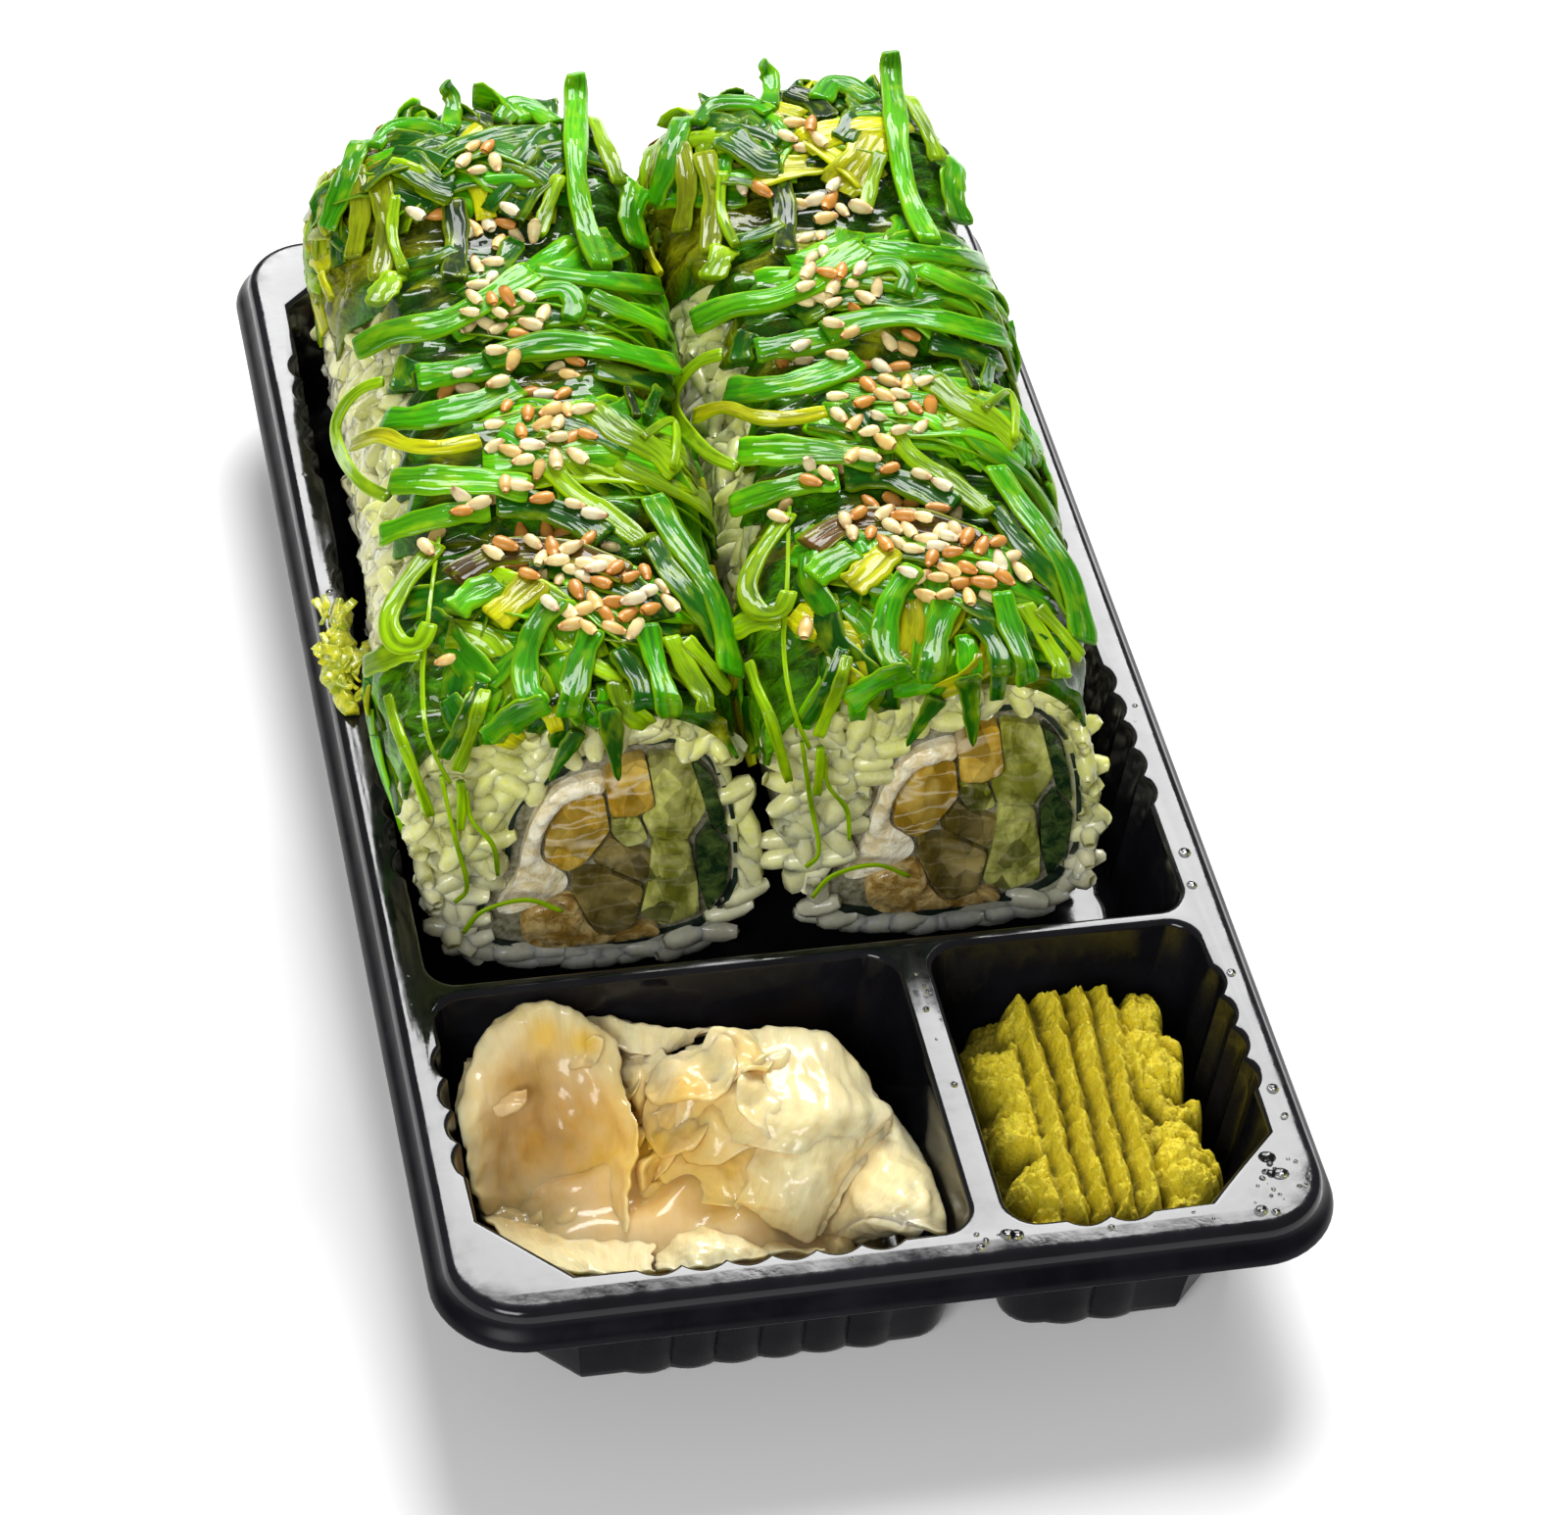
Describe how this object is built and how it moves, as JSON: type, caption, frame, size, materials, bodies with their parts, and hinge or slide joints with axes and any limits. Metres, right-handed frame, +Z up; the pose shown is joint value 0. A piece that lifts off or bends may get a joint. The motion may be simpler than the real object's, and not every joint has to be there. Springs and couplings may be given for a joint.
{
  "type": "takeaway sushi tray",
  "caption": "Takeaway sushi tray: fluted black three-pocket tray with rice rolls under sesame seaweed salad, pickled ginger and wasabi paste.",
  "frame": {"origin": "middle of the underside of the tray, on the surface it stands on", "axes": "+X to the right across the tray, +Y from the ginger and wasabi to the back of the rolls, +Z up"},
  "size_m": [0.1192, 0.2244, 0.0612],
  "materials": {
    "tray_plastic": "glossy thermoformed sheet, wet in places",
    "rice": "moist cooked rice, slightly see-through",
    "nori": "dark dried seaweed sheet",
    "cream_cheese": "soft off-white cheese",
    "amber_filling": "wet see-through amber slices",
    "cucumber": "wet pale green flesh",
    "cucumber_skin": "dark green skin",
    "grey_filling": "wet grey-brown see-through pieces",
    "tan_filling": "soft tan filling",
    "seaweed": "wet shiny green strips with sesame seeds",
    "pale_seaweed": "wet yellow-green shred",
    "ginger": "wet see-through pickled slices",
    "wasabi": "grainy yellow-green paste"
  },
  "bodies": {
    "root": {"tray": "tray_plastic", "roll_left_1_rice": "rice", "roll_left_1_nori": "nori", "roll_left_1_cheese": "cream_cheese", "roll_left_1_squash_left": "amber_filling", "roll_left_1_squash_top": "amber_filling", "roll_left_1_cucumber_top": "cucumber", "roll_left_1_skin_top": "cucumber_skin", "roll_left_1_cucumber_middle": "cucumber", "roll_left_1_radish_upper": "grey_filling", "roll_left_1_radish_lower": "grey_filling", "roll_left_1_skin_low": "cucumber_skin", "roll_left_1_cucumber_low": "cucumber", "roll_left_1_tofu": "tan_filling", "roll_left_2": "rice", "roll_left_3": "rice", "roll_left_4": "rice", "seaweed_left": "seaweed", "roll_right_1_rice": "rice", "roll_right_1_nori": "nori", "roll_right_1_cheese": "cream_cheese", "roll_right_1_squash_left": "amber_filling", "roll_right_1_squash_top": "amber_filling", "roll_right_1_cucumber_top": "cucumber", "roll_right_1_skin_top": "cucumber_skin", "roll_right_1_cucumber_middle": "cucumber", "roll_right_1_radish_upper": "grey_filling", "roll_right_1_radish_lower": "grey_filling", "roll_right_1_skin_low": "cucumber_skin", "roll_right_1_cucumber_low": "cucumber", "roll_right_1_tofu": "tan_filling", "roll_right_2": "rice", "roll_right_3": "rice", "roll_right_4": "rice", "seaweed_right": "seaweed", "seaweed_scrap": "pale_seaweed", "ginger_hood": "ginger", "ginger_crumple": "ginger", "ginger_middle": "ginger", "ginger_strip": "ginger", "ginger_front": "ginger", "wasabi": "wasabi"}
  },
  "joints": []
}
